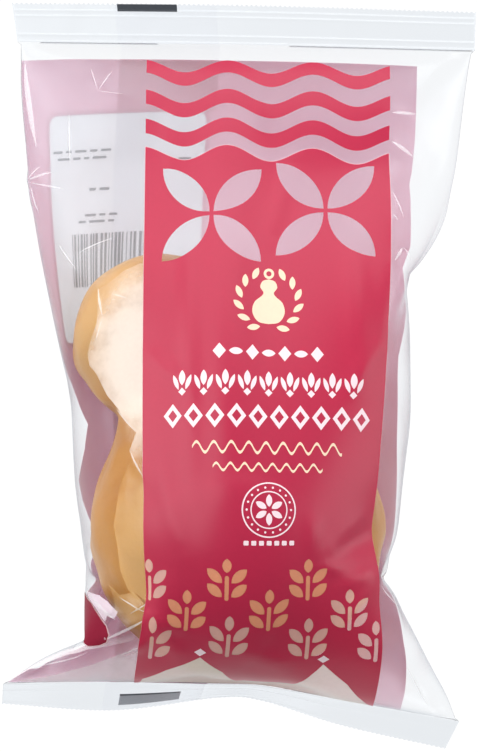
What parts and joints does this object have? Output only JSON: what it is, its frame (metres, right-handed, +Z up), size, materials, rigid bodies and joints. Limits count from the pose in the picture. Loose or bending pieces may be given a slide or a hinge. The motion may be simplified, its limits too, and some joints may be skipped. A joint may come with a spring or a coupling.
{
  "type": "smoked scamorza in a flow pack",
  "caption": "Smoked scamorza, a pear-shaped stretched-curd cheese, sealed in a clear printed flow pack with a label on its back; lies on its back.",
  "frame": {"origin": "under the middle of the bag's outline, on the surface that the pack rests on", "axes": "+Z up, out of the front face; +Y along the bag towards its top seal; +X to the right of someone reading the front"},
  "size_m": [0.1188, 0.187, 0.066],
  "materials": {
    "printed_film": "gloss",
    "clear_film": "gloss",
    "crimson_ink": "gloss",
    "pale_ink": "gloss",
    "dark_ink": "satin",
    "label_paper": "matte",
    "cheese_rind": "satin"
  },
  "bodies": {
    "root": {"bag": "printed_film", "back_label": "label_paper"}
  },
  "joints": []
}
